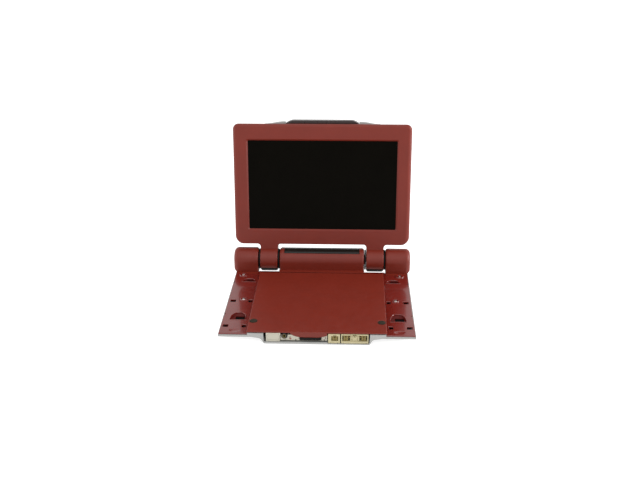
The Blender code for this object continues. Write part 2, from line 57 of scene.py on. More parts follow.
WING_Z = (8.3, 9.59)
CENTRE_X = 45.24
OUTER_X = (68.07, 94.42)
DECK_TOP = 12.8
DISC_Y = -80.6
WELL_R = 61.5
LID_AXIS = (-20.4, 10.1)
LENS_Y = DISC_Y + 23.5
BAY_FACE_Y = -144.7
SPEAKER_AT = (77.3, -109.7)
BUMPER_AT = (61.0, -124.0)
WING_SCREW = (76.3, -74.7)
REAR_SCREW = (83.0, -19.5)
CASE_SCREWS = {"front": (80.0, -126.0), "rear": (36.0, 8.0)}
FOOT_X = 41.0
FOOT_Y = {"front": -134.0, "rear": -30.0}
LEAD_SCREW_AXIS = (-18.5, 5.2)
CATCH_TURNS = (0.3, 2.39, 4.49)  # radians round the hub
SIDES = ((1, "right"), (-1, "left"))
SHARP_ANGLE = math.radians(42)

# ---------------------------------------------------------------- outlines


def arc(centre, radius, start, end, steps=12):
    angles = (math.radians(start + (end - start) * i / steps) for i in range(steps + 1))
    return [(centre[0] + radius * math.cos(a), centre[1] + radius * math.sin(a)) for a in angles]


def circle(centre, radius, sides=48):
    return arc(centre, radius, 0, 360 * (sides - 1) / sides, sides - 1)


def rounded(x0, x1, y0, y1, low_r, high_r=None, steps=8):
    """A rectangle with round corners, counterclockwise."""
    high_r = low_r if high_r is None else high_r
    points = arc((x1 - low_r, y0 + low_r), low_r, -90, 0, steps)
    points += arc((x1 - high_r, y1 - high_r), high_r, 0, 90, steps)
    points += arc((x0 + high_r, y1 - high_r), high_r, 90, 180, steps)
    return points + arc((x0 + low_r, y0 + low_r), low_r, 180, 270, steps)


def inset(outline, distance):
    """A counterclockwise outline moved inwards, with as many points."""
    moved = []
    for i, point in enumerate(outline):
        before, here, after = Vector(outline[i - 1]), Vector(point), Vector(outline[(i + 1) % len(outline)])
        a, b = (here - before).normalized(), (after - here).normalized()
        a, b = Vector((-a.y, a.x)), Vector((-b.y, b.x))
        moved.append(tuple(here + (a + b) * distance / max(1 + a.dot(b), 0.2)))
    return moved


def housing(distance, low=1.0, high=1.0):
    """The screen housing's outline moved inwards, by less at its lower and upper edges where asked."""
    return rounded(
        distance - SCREEN_HALF_W, SCREEN_HALF_W - distance,
        SCREEN_Z[0] + distance * low, SCREEN_Z[1] - distance * high,
        max(8.5 - distance, 1.0), max(6.0 - distance, 1.0), 12,
    )


def mirrored(half):
    """An outline from its right half, given from bottom to top."""
    return half + [(-x, y) for x, y in reversed(half)]


# ---------------------------------------------------------------- shapes


def placed(axis, point, along):
    """A point of an outline in space, at a distance along the axis."""
    a, b = point
    return {"X": (along, a, b), "Y": (a, along, b), "Z": (a, b, along)}[axis]


def loft(axis, *sections):
    """A closed solid through sections of (distance along the axis, outline)."""
    shape = bmesh.new()
    rings = [[shape.verts.new(placed(axis, p, along)) for p in outline] for along, outline in sections]
    for low, high in zip(rings, rings[1:]):
        for i in range(len(low)):
            j = (i + 1) % len(low)
            shape.faces.new((low[i], low[j], high[j], high[i]))
    shape.faces.new(rings[0])
    shape.faces.new(rings[-1])
    bmesh.ops.recalc_face_normals(shape, faces=shape.faces)
    return shape


def prism(axis, outline, low, high):
    return loft(axis, (low, outline), (high, outline))


def quarter(radius, depth=None, steps=5):
    """(inset, depth) pairs of a rounded edge, from the flat face to the side."""
    depth = radius if depth is None else depth
    turns = (math.pi / 2 * i / steps for i in range(steps + 1))
    return [(radius * (1 - math.sin(t)), depth * (1 - math.cos(t))) for t in turns]


def pillow(axis, outline, low, high, low_r=0.0, high_r=0.0, steps=4):
    """A prism whose edges are round at its low end, its high end or both."""
    start = [(low + d, inset(outline, e)) for e, d in quarter(low_r, steps=steps)] if low_r else [(low, outline)]
    end = [(high - d, inset(outline, e)) for e, d in quarter(high_r, steps=steps)] if high_r else [(high, outline)]
    return loft(axis, *start, *reversed(end))


def box(x, y, z):
    return prism("Z", [(x[0], y[0]), (x[1], y[0]), (x[1], y[1]), (x[0], y[1])], z[0], z[1])


def brick(x, y, z, radius=0.4):
    """A block with round vertical edges and a round top edge."""
    return pillow("Z", rounded(x[0], x[1], y[0], y[1], radius, steps=4), z[0], z[1], high_r=radius * 0.9)


def cylinder(axis, centre, radius, low, high, sides=48):
    return prism(axis, circle(centre, radius, sides), low, high)


def turned(axis, centre, profile, sides=48):
    """A solid of revolution through (radius, distance along the axis) pairs."""
    return loft(axis, *((along, circle(centre, radius, sides)) for radius, along in profile))


def ring(axis, centre, profile, sides=48):
    """A closed ring: its section is the loop of (radius, distance along the axis) pairs."""
    shape = bmesh.new()
    loops = []
    for k in range(sides):
        turn = 2 * math.pi * k / sides
        at = [((centre[0] + r * math.cos(turn), centre[1] + r * math.sin(turn)), s) for r, s in profile]
        loops.append([shape.verts.new(placed(axis, *p)) for p in at])
    for k, loop in enumerate(loops):
        other = loops[(k + 1) % sides]
        for i in range(len(loop)):
            j = (i + 1) % len(loop)
            shape.faces.new((loop[i], loop[j], other[j], other[i]))
    bmesh.ops.recalc_face_normals(shape, faces=shape.faces)
    return shape


def span(side, low, high):
    """An X range given for the right side, on the right (1) or mirrored to the left (-1)."""
    return (low, high) if side > 0 else (-high, -low)


# ---------------------------------------------------------------- materials


def node(tree, kind, **settings):
    """A new shader node with these settings."""
    made = tree.nodes.new(kind)
    for name, value in settings.items():
        setattr(made, name, value)
    return made


def noise(tree, coords, scale, detail=4.0):
    made = node(tree, "ShaderNodeTexNoise")
    made.inputs["Scale"].default_value = scale
    made.inputs["Detail"].default_value = detail
    made.inputs["Roughness"].default_value = 0.55
    tree.links.new(coords.outputs["Object"], made.inputs["Vector"])
    return made.outputs["Fac"]


def finish_of(
    name, colour, roughness, metallic=0.0, specular=0.5, coat=0.0, mottle=0.06, grain=0.12, grain_size=0.5, wear=0.06
):
    """A painted, moulded or metal surface. Colour and roughness drift slowly and a fine grain lifts the surface."""
    made = bpy.data.materials.new(name)
    made.use_nodes = True
    tree = made.node_tree
    shader = tree.nodes["Principled BSDF"]
    shader.inputs["Metallic"].default_value = metallic
    shader.inputs["Specular IOR Level"].default_value = specular
    shader.inputs["Coat Weight"].default_value = coat
    shader.inputs["Coat Roughness"].default_value = 0.06
    coords = node(tree, "ShaderNodeTexCoord")
    ramp = node(tree, "ShaderNodeValToRGB")
    ramp.color_ramp.elements[0].position = 0.3
    ramp.color_ramp.elements[1].position = 0.7
    ramp.color_ramp.elements[0].color = (*(c * (1 - mottle) for c in colour), 1)
    ramp.color_ramp.elements[1].color = (*(min(c * (1 + mottle), 1) for c in colour), 1)
    tree.links.new(noise(tree, coords, 0.06), ramp.inputs["Fac"])
    tree.links.new(ramp.outputs["Color"], shader.inputs["Base Color"])
    spread = node(tree, "ShaderNodeMapRange")
    spread.inputs["From Min"].default_value = 0.3
    spread.inputs["From Max"].default_value = 0.7
    spread.inputs["To Min"].default_value = max(roughness - wear, 0.02)
    spread.inputs["To Max"].default_value = min(roughness + wear, 1.0)
    tree.links.new(noise(tree, coords, 0.17, 6.0), spread.inputs["Value"])
    tree.links.new(spread.outputs["Result"], shader.inputs["Roughness"])
    bump = node(tree, "ShaderNodeBump")
    bump.inputs["Strength"].default_value = grain
    bump.inputs["Distance"].default_value = 0.00004
    tree.links.new(noise(tree, coords, 1 / grain_size, 2.0), bump.inputs["Height"])
    tree.links.new(bump.outputs["Normal"], shader.inputs["Normal"])
    return made


def circuit_finish():
    """Green solder mask with a pattern of tracks and tinned pads."""
    made = finish_of("circuit_board", (0.02, 0.13, 0.05), 0.35, mottle=0.2, grain=0.1)
    tree = made.node_tree
    shader = tree.nodes["Principled BSDF"]
    coords = node(tree, "ShaderNodeTexCoord")
    cells = node(tree, "ShaderNodeTexVoronoi", feature="DISTANCE_TO_EDGE", distance="EUCLIDEAN")
    cells.inputs["Scale"].default_value = 0.35
    tree.links.new(coords.outputs["Object"], cells.inputs["Vector"])
    ramp = node(tree, "ShaderNodeValToRGB")
    ramp.color_ramp.elements[0].position = 0.05
    ramp.color_ramp.elements[0].color = (0.05, 0.24, 0.09, 1)
    ramp.color_ramp.elements[1].position = 0.09
    ramp.color_ramp.elements[1].color = (0.015, 0.11, 0.04, 1)
    tree.links.new(cells.outputs["Distance"], ramp.inputs["Fac"])
    tree.links.new(ramp.outputs["Color"], shader.inputs["Base Color"])
    return made


FINISH_VALUES = {
    "red_matte": dict(
        colour=(0.133, 0.0118, 0.0047), roughness=0.44, specular=0.31, mottle=0.05, grain=0.22, grain_size=0.35
    ),
    # A darker copy of the red plastic for the port floors: painted shade of the recesses.
    "red_painted_shade": dict(colour=(0.075, 0.0045, 0.0030), roughness=0.5, specular=0.15, mottle=0.05, grain=0.1),
    "red_gloss": dict(
        colour=(0.120, 0.0070, 0.0036), roughness=0.23, specular=0.5, coat=0.52, mottle=0.05, grain=0.05,
        grain_size=2.0, wear=0.03,
    ),
    "silver_grey": dict(
        colour=(0.30, 0.30, 0.29), roughness=0.36, metallic=0.25, mottle=0.05, grain=0.15, grain_size=0.25
    ),
    "black_gloss": dict(
        colour=(0.008, 0.0065, 0.0055), roughness=0.16, specular=0.28, mottle=0.1, grain=0.03, wear=0.03
    ),
    "band_black": dict(colour=(0.024, 0.0125, 0.0115), roughness=0.3, specular=0.35, mottle=0.08, grain=0.12),
    "lcd_glass": dict(
        colour=(0.0022, 0.0018, 0.0011), roughness=0.28, specular=0.02, mottle=0.1, grain=0.02, wear=0.03
    ),
    # Near-black for the latch and the hinge bushes, and painted shade for the arm barrels' lower linings and the
    # ports' slotted plates.
    "gap_black": dict(colour=(0.005, 0.0045, 0.004), roughness=0.6, specular=0.12, mottle=0.1, grain=0.2),
    "black_matte": dict(colour=(0.020, 0.020, 0.019), roughness=0.6, mottle=0.12, grain=0.3),
    "rubber": dict(colour=(0.022, 0.018, 0.012), roughness=0.8, specular=0.12, mottle=0.12, grain=0.35),
    "steel": dict(colour=(0.58, 0.57, 0.55), roughness=0.26, metallic=1.0, mottle=0.06, grain=0.12),
    "cream_plastic": dict(colour=(0.40, 0.35, 0.20), roughness=0.42, mottle=0.07, grain=0.15),
    "white_plastic": dict(colour=(0.40, 0.375, 0.305), roughness=0.42, mottle=0.04, grain=0.15),
    "battery_wrap": dict(colour=(0.10, 0.14, 0.26), roughness=0.34, mottle=0.08, grain=0.2),
    "led_lens": dict(colour=(0.26, 0.02, 0.02), roughness=0.3, mottle=0.05, grain=0.02),
    "optical_lens": dict(
        colour=(0.10, 0.14, 0.30), roughness=0.04, specular=0.9, coat=1.0, mottle=0.1, grain=0.0, wear=0.01
    ),
    "bright_steel": dict(colour=(0.86, 0.85, 0.82), roughness=0.32, metallic=1.0, mottle=0.05, grain=0.1),
    "brass": dict(colour=(0.62, 0.43, 0.16), roughness=0.3, metallic=1.0, mottle=0.08, grain=0.1),
    "amber_plastic": dict(colour=(0.16, 0.115, 0.022), roughness=0.5, mottle=0.12, grain=0.15),
    # The speaker cones' black, darkened further as painted shade of the deep slits over them.
    "grille_and_painted_shade": dict(colour=(0.006, 0.006, 0.005), roughness=0.7, specular=0.15, mottle=0.2, grain=0.6, grain_size=0.3),
}
FINISHES = {name: finish_of(name, **values) for name, values in FINISH_VALUES.items()}
FINISHES["circuit_board"] = circuit_finish()

# ---------------------------------------------------------------- pieces

scene = bpy.context.scene


def temporary(shape):
    mesh = bpy.data.meshes.new("tool")
    shape.to_mesh(mesh)
    shape.free()
    obj = bpy.data.objects.new("tool", mesh)
    scene.collection.objects.link(obj)
    return obj


def applied(obj):
    """Replaces the object's mesh by what its modifiers make of it."""
    graph = bpy.context.evaluated_depsgraph_get()
    made = bpy.data.meshes.new_from_object(obj.evaluated_get(graph))
    old = obj.data
    obj.modifiers.clear()
    obj.data = made
    bpy.data.meshes.remove(old)


class Part:
    """A solid that grows by unions and cuts, and then becomes one shown piece."""

    def __init__(self, shape):
        self.obj = temporary(shape)

    def combine(self, operation, shapes):
        tools = [temporary(shape) for shape in shapes]
        for tool in tools:
            modifier = self.obj.modifiers.new(operation, "BOOLEAN")
            modifier.operation = operation
            modifier.solver = "EXACT"
            modifier.object = tool
        applied(self.obj)
        if not self.obj.data.polygons:
            raise RuntimeError(f"a {operation} left nothing")
        for tool in tools:
            mesh = tool.data
            bpy.data.objects.remove(tool)
            bpy.data.meshes.remove(mesh)
        return self

    def add(self, *shapes):
        return self.combine("UNION", shapes)

    def cut(self, *shapes):
        return self.combine("DIFFERENCE", shapes)

    def done(self, name, finish, body, where=BASE, replaces=(), edge=0.25, corner=32, segments=2):
        """Rounds the edges sharper than corner degrees, gives the finish and ties the piece to its body."""
        obj = self.obj
        if edge:
            weld = obj.modifiers.new("Weld", "WELD")
            weld.merge_threshold = 0.01
            bevel = obj.modifiers.new("Edges", "BEVEL")
            bevel.width = edge
            bevel.segments = segments
            bevel.limit_method = "ANGLE"
            bevel.angle_limit = math.radians(corner)
            applied(obj)
        obj.name = name
        obj.data.name = name
        obj.data.materials.clear()
        obj.data.materials.append(FINISHES[finish])
        obj.data.shade_smooth()
        obj.data.set_sharp_from_angle(angle=SHARP_ANGLE)
        smooth = obj.modifiers.new("Shading", "WEIGHTED_NORMAL")
        smooth.keep_sharp = True
        obj.matrix_world = where
        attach(obj, body)
        if replaces:
            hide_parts(*([replaces] if isinstance(replaces, str) else replaces))
        return obj


def mesh_piece(name, shape, finish, body, where=BASE, replaces=(), edge=0.0):
    """A piece that is one shape, with no unions or cuts."""
    return Part(shape).done(name, finish, body, where, replaces, edge)


# ---------------------------------------------------------------- hinge housing and wings


def knuckle(low, high, low_round, high_round, bottom):
    """One barrel of the hinge housing along X, with round ends and straight sides down to the wings."""

    def profile(distance):
        radius = KNUCKLE_R - distance
        return [(-radius, bottom)] + arc((0, HINGE_Z), radius, 180, 0, 48) + [(radius, bottom)]

    start = [(low + d, profile(e)) for e, d in quarter(low_round, steps=6)]
    end = [(high - d, profile(e)) for e, d in quarter(high_round, steps=6)]
    return loft("X", *start, *reversed(end))


def hollow(low, high):
    """The cutter that leaves a barrel with thin walls."""
    inner = KNUCKLE_R - 1.8
    outline = [(-inner, WING_Z[0] - 0.3)] + arc((0, HINGE_Z), inner, 180, 0, 24) + [(inner, WING_Z[0] - 0.3)]
    return prism("X", outline, low, high)


def port_outline(centre, half_width, front, rear):
    """A hole that is straight at the front, with a broad round side at the rear."""
    points = []
    steps = 32
    for i in range(steps + 1):
        across, back = math.cos(math.pi * i / steps), math.sin(math.pi * i / steps)
        across = math.copysign(abs(across) ** 0.72, across)
        points.append((centre[0] + half_width * across, centre[1] + front + (rear - front) * back**0.9))
    return points


def make_port(name, outline, floor, top, slit):
    """The inside of a port: a floor that rises at the rear, in a darker red as painted shade, with a slit in it and a
    slotted black plate under that as painted shade of the deep slit.
    """
    xs, ys = [p[0] for p in outline], [p[1] for p in outline]
    rear = max(ys)
    side = [(min(ys) - 1, floor - 0.8), (rear + 1, floor - 0.8), (rear + 1, top), (rear - 0.3, top)]
    side += [(slit[3] + 0.1, floor), (min(ys) - 1, floor)]
    ramp = Part(prism("X", side, min(xs) - 1, max(xs) + 1))
    ramp.combine("INTERSECT", [prism("Z", inset(outline, -0.4), floor - 2, top + 1)])
    ramp.cut(box(slit[:2], slit[2:], (floor - 2, top + 1)))
    # The floor's darker red is painted shade of the recess.
    ramp.done(f"port_ramp_{name}", "red_painted_shade", "base", replaces="top_shell", edge=0.0)
    # The slotted black plate under the slit is painted shade: it stands in for the dark of the deep slit.
    grille_z = (floor - 1.3, floor - 0.85)
    grille_and_painted_shade = Part(box((slit[0] - 0.3, slit[1] + 0.3), (slit[2] - 0.3, slit[3] + 0.3), grille_z))
    count = round((slit[1] - slit[0]) / 1.1)
    pitch = (slit[1] - slit[0]) / count
    for k in range(count):
        x = slit[0] + pitch * (k + 0.5)
        grille_and_painted_shade.cut(box((x - 0.3, x + 0.3), (slit[2] + 0.3, slit[3] - 0.3), (floor - 2, floor)))
    grille_and_painted_shade.done(f"port_painted_shade_grille_{name}", "gap_black", "base", replaces="top_shell", edge=0.0)


def flared(outline, top, depth, flare):
    """A cutter for a hole along Z whose upper edge is chamfered."""
    return loft(
        "Z", (top - depth, outline), (top - flare, outline),
        (top + 0.02, inset(outline, -flare)), (top + 1, inset(outline, -flare - 0.3)),
    )


def make_housing():
    low = WING_Z[0] + 0.3
    centre = Part(knuckle(-CENTRE_X, CENTRE_X, 2.6, 2.6, low))
    step = [(-18.35, low), (-18.35, DECK_TOP - 0.9)] + arc((-17.45, DECK_TOP - 0.9), 0.9, 180, 90, 5)
    step += [(-5, DECK_TOP), (-5, low)]
    centre.add(prism("X", step, -CENTRE_X, CENTRE_X))
    recess = arc((0, HINGE_Z), KNUCKLE_R - 1.05, 57, 127, 24) + arc((0, HINGE_Z), KNUCKLE_R + 1, 127, 57, 24)
    centre.cut(
        hollow(-43.4, 43.4),
        box((-43.4, 43.4), (-16.3, 0), (low - 0.6, DECK_TOP - 1.4)),
        prism("X", recess, -40.3, 40.3),
        cylinder("X", LID_AXIS, 3.45, -46, 46, 64),
        *(cylinder("X", (0, HINGE_Z), 5.5, *span(side, 42, 46)) for side in (1, -1)),
    )
    centre.done("hinge_housing_centre", "red_matte", "base", replaces="top_shell", edge=0.35)
    strip = arc((0, HINGE_Z), KNUCKLE_R - 0.75, 60, 125, 24) + arc((0, HINGE_Z), KNUCKLE_R + 0.05, 125, 60, 24)
    mesh_piece("knuckle_strip", prism("X", strip, -40, 40), "black_gloss", "base", replaces="knuckle_window", edge=0.3)
    for side, word in SIDES:
        rounds = (2.4, 5.0) if side > 0 else (5.0, 2.4)
        outer = Part(knuckle(*span(side, *OUTER_X), *rounds, low))
        foot = [(-16.6, low), (-16.6, 9.7)] + arc((-11.3, 15.0), 5.3, 270, 360, 8) + [(-6.0, low)]
        foot_x = span(side, OUTER_X[0] + 0.3, OUTER_X[1] - 4.2)
        outer.add(prism("X", foot, *foot_x))
        under = [(91.53, 8.0), (95.0, 8.0), (95.0, 12.6), (91.53, 9.59)]
        outer.cut(
            hollow(*span(side, 69.9, 89.9)),
            cylinder("X", (0, HINGE_Z), 5.5, *span(side, 67, 71)),
            prism("Y", [(side * x, z) for x, z in under], -13, 13),
        )
        outer.done(f"hinge_housing_{word}", "red_matte", "base", replaces="top_shell", edge=0.3)


def make_wings():
    front = -142.2
    half = [(92.2, front), (91.53, -100), (91.53, 11.0), (OUTER_X[0], 11.0), (OUTER_X[0], -18.4)]
    half += [(CENTRE_X, -18.4), (CENTRE_X, 11.0)]
    wing = Part(pillow("Z", mirrored(half), *WING_Z, high_r=0.35, steps=2))
    low, top = WING_Z
    wing.add(cylinder("Z", (0, DISC_Y), WELL_R + 1.2, 7.2, low + 0.4, 128))
    wing.cut(
        cylinder("Z", (0, DISC_Y), WELL_R, 8.2, 10.5, 128),
        box((-49.7, 49.7), (-150, -131.5), (7.0, 10)),
        box((-22.4, 22.4), (-97, -17.2), (7.0, 8.7)),
        cylinder("X", LID_AXIS, 3.45, -46, 46, 48),
        box((-43.4, 43.4), (-16.5, 10.1), (7.9, 10)),
    )
    for side, word in SIDES:
        y, z = LID_AXIS
        lug = span(side, 25, 29)
        wing.add(
            box(lug, (y - 4.2, y + 4.2), (low, low + 0.7)),
            box(lug, (y - 1.5, y + 1.5), (low, z)),
            cylinder("X", LID_AXIS, 1.5, *lug, 32),
        )
        rims = []
        for (x, y), radius in ((WING_SCREW, 3.7), (REAR_SCREW, 4.6)):
            loop = [(2.3, low + 0.1), (2.3, top + 0.5), (2.6, top + 0.75)]
            loop += [(radius - 0.5, top + 0.75), (radius, top + 0.2), (radius, low + 0.1)]
            rims.append(ring("Z", (side * x, y), loop))
        wing.add(*rims)
        wing.cut(
            box(span(side, 69.9, 89.9), (-10.1, 10.1), (7.9, 10)),
            *(cylinder("Z", (side * x, y), 2.3, 8, 11) for x, y in (WING_SCREW, REAR_SCREW)),
        )
        for place, centre, width, y0, y1, depth, floor, slit_rear in (
            ("speaker", SPEAKER_AT, 7.5, -6.8, 7.1, 3.75, 7.2, 3.5),
            ("rear", (75.5, -32.0), 6.5, -3.5, 3.0, 3.0, 8.3, 2.3),
        ):
            outline = port_outline((side * centre[0], centre[1]), width, y0, y1)
            # A raised lip follows the round side and a wall leads down inside it.
            wing.add(pillow("Z", inset(outline, -0.9), low + 0.2, top + 0.3, high_r=0.28, steps=3))
            wing.add(prism("Z", inset(outline, -0.7), top - depth, low + 0.2))
            wing.cut(flared(outline, top + 0.3, depth + 3, 0.3))
            x, y = side * centre[0], centre[1]
            slit = (x - 0.4 * width, x + 0.8 * width, y + 0.6 * y0, y + slit_rear)
            make_port(f"{place}_{word}", outline, floor, top - 0.7, slit)
        holes = []
        for x, y, width in ((86.5, -78.0, 5.0), (69.2, -78.2, 4.0), (87.4, -128.1, 5.0), (69.8, -128.4, 4.0)):
            outline = rounded(side * x - width / 2, side * x + width / 2, y - 2.5, y + 2.5, 0.4, steps=3)
            holes.append(flared(outline, top, 4, 0.3))
        for x, y in ((90.9, -37.0), (91.3, -105.8)):
            holes.append(box(span(side, x - 0.9, x + 2), (y - 1.6, y + 1.6), (low - 1, top + 1)))
        dish = bmesh.new()
        bmesh.ops.create_uvsphere(dish, u_segments=48, v_segments=24, radius=1.0)
        bmesh.ops.scale(dish, vec=(5.6, 3.0, 0.55), verts=dish.verts)
        bmesh.ops.translate(dish, vec=(side * 77.6, -136.6, top + 0.12), verts=dish.verts)
        wing.cut(*holes, dish)
        wing.add(
            box(span(side, 90.4, 92.2), (front, front + 0.9), (5.9, low + 0.4)),
            box(span(side, 66.4, 68.3), (-19.0, -11.0), WING_Z),
            box(span(side, 44.9, 66.6), (-18.8, -16.2), (low, 9.4)),
            box(span(side, 44.9, 66.6), (-17.1, -16.2), (low, 12.6)),
        )
    wing.done("wing_shell", "red_gloss", "base", replaces="top_shell", edge=0.12, corner=38, segments=1)


def make_lid():
    y0, y1 = -144.2, -18.9
    lid = Part(pillow("Z", rounded(-65.55, 65.55, y0, y1, 1.6, 0.9), DECK_TOP - 1.0, DECK_TOP, high_r=0.7, steps=5))
    tab = [(-24.8, 12.1), (-24.6, 10.9), (-23.2, 9.8), (-21.5, 8.8), (-18.8, 7.9), (-16.0, 7.3), (-13.0, 7.1)]
    tab += [(1.5, 7.1), (4.5, 7.6), (8.0, 8.3), (9.4, 8.9), (9.8, 9.8), (9.8, 12.1)]
    lid.add(pillow("Y", tab, y0, y0 + 1.3, low_r=0.25, steps=3))
    y = LID_AXIS[0]
    for side, word in SIDES:
        at = (side * BUMPER_AT[0], BUMPER_AT[1])
        lid.add(
            box(span(side, 64.15, 65.55), (y0 + 1, y - 0.4), (9.9, 12.0)),
            box(span(side, 29.6, 33.6), (y - 1.5, y + 1.2), (8.9, 12.0)),
            *(box(span(side, 8, 8.9), (-140 + 40 * k, -108 + 40 * k), (10.6, 12.0)) for k in range(3)),
        )
        lid.cut(
            cylinder("X", LID_AXIS, 1.8, *span(side, 24.6, 29.4), 32),
            loft("Z", (12.1, circle(at, 3.9)), (12.55, circle(at, 3.9)), (13.0, circle(at, 4.25))),
        )
        dome = [(3.6, 12.12), (3.6, 12.75), (3.35, 13.02), (2.8, 13.22), (1.5, 13.3), (0.05, 13.3)]
        mesh_piece(f"bumper_{word}", turned("Z", at, dome), "rubber", "disc_lid", replaces=f"lid_bumper_{word}")
    lid.cut(cylinder("X", LID_AXIS, 0.8, -35, 35, 24))
    lid.done("lid_panel", "red_matte", "disc_lid", replaces="disc_lid", edge=0.15, segments=1)


# ---------------------------------------------------------------- case


def tapered(low_x, low_y, low_z, high_x, high_y, high_z, radius=0.0):
    """A block whose lower and upper faces differ in size, with round vertical edges where a radius is given."""
    if radius:
        low, high = (rounded(*x, *y, radius, steps=4) for x, y in ((low_x, low_y), (high_x, high_y)))
        return loft("Z", (low_z, low), (high_z, high))
    low = [(low_x[0], low_y[0]), (low_x[1], low_y[0]), (low_x[1], low_y[1]), (low_x[0], low_y[1])]
    high = [(high_x[0], high_y[0]), (high_x[1], high_y[0]), (high_x[1], high_y[1]), (high_x[0], high_y[1])]
    return loft("Z", (low_z, low), (high_z, high))


def make_case():
    front, wing_front, top, flange = -145.2, -142.4, 8.0, 5.8
    half = [(92.8, wing_front), (92.2, -20.0), (92.0, 11.6), (68.4, 11.6), (68.4, -18.7), (44.9, -18.7), (44.9, 11.6)]
    case = Part(prism("Z", mirrored(half), flange - 0.1, top))
    side_curve = [(49.3, 0.7), (50.6, 2.8), (51.6, 4.6), (52.6, 5.6), (54.4, 6.3), (57.5, 6.8)]
    side_curve += [(60.5, 7.2), (60.5, 7.85)]
    case.add(
        prism("Y", mirrored(side_curve), front, -19.6),
        box((-44.9, 44.9), (-20.5, 11.6), (0.7, 7.5)),
    )
    for side in (1, -1):
        case.add(
            tapered(span(side, 60, 88.8), (-132, -26), 2.2, span(side, 56, 91.7), (-142.0, -20), flange, 3.0),
            tapered(span(side, 70, 88.8), (-30, 8), 2.2, span(side, 68.6, 91.7), (-30, 11.4), flange),
            box(span(side, 49.7, 64.8), (front, -142.35), (7.4, 11.3)),
        )
    over = top + 0.2
    case.cut(
        tapered((-47.9, 47.9), (-143.7, -21), 2.2, (-52.6, 52.6), (-143.7, -21), over),
        box((-90.6, 90.6), (-141.0, -21), (7.3, over)),
        box((-43.4, 43.4), (-22, 10.1), (2.2, over)),
        box((-49.6, 49.6), (front - 1, -143), (2.6, over)),
        box((10.4, 48.8), (front - 1, -141.1), (1.6, 2.7)),
    )
    for side in (1, -1):
        case.cut(
            tapered(span(side, 61, 87.6), (-130.6, -27), 3.4, span(side, 57.8, 90.3), (-140.6, -21.5), over),
            box(span(side, 71, 87.5), (-28, 7.5), (3.45, over)),
            *(
                cylinder("Z", (side * x, y), 2.3, head - 1.6, head + 1.6)
                for (x, y), head in zip(CASE_SCREWS.values(), (2.4, 0.9))
            ),
            *(cylinder("Z", (side * FOOT_X, y), 4.5, 0.4, 1.25) for y in FOOT_Y.values()),
            # Shallow grip grooves and vent slots on the underside.
            *(box(span(side, 16, 34), (-70 + 5 * k, -68.2 + 5 * k), (0, 1.1)) for k in range(4)),
        )
    case.done("case_shell", "silver_grey", "base", replaces="bottom_case", edge=0.4, corner=28)


def screw_piece(name, place, under, tip):
    """A pan head screw along Z with a cross recess. Under is the flat side of its head."""
    x, y = place
    way = 1 if tip < under else -1
    dome = ((0.05, 0.9), (0.9, 0.88), (1.5, 0.72), (1.85, 0.42), (2.0, 0.1), (2.0, 0))
    head = [(radius, under + way * rise) for radius, rise in dome]
    threads = [(1.1 if k % 2 else 0.9, under + (tip - under) * k / 12) for k in range(0, 12)] + [(0.3, tip)]
    part = Part(turned("Z", place, head + threads, 40))
    z = sorted((under + way * 0.45, under + way * 1.2))
    part.cut(box((x - 1.1, x + 1.1), (y - 0.22, y + 0.22), z), box((x - 0.22, x + 0.22), (y - 1.1, y + 1.1), z))
    part.done(f"{name}_head", "bright_steel", "base", replaces=name, edge=0.0)


def make_fasteners():
    for side, word in SIDES:
        for name, (x, y), under, tip in (
            ("wing_screw", WING_SCREW, 8.9, 3.9),
            ("rear_screw", REAR_SCREW, 8.9, 3.9),
            ("case_screw_front", CASE_SCREWS["front"], 3.3, 7.8),
            ("case_screw_rear", CASE_SCREWS["rear"], 1.8, 7.8),
        ):
            screw_piece(f"{name}_{word}", (side * x, y), under, tip)
        for place, y in FOOT_Y.items():
            pad = [(3.2, 0.35), (3.45, 0.12), (3.75, 0.0), (4.05, 0.12), (4.2, 0.35), (4.2, 0.95), (0.05, 0.95)]
            shape = turned("Z", (side * FOOT_X, y), [(0.05, 0.4)] + pad)
            mesh_piece(f"foot_{place}_{word}", shape, "rubber", "base", replaces=f"rubber_foot_{place}_{word}")


# ---------------------------------------------------------------- front bay


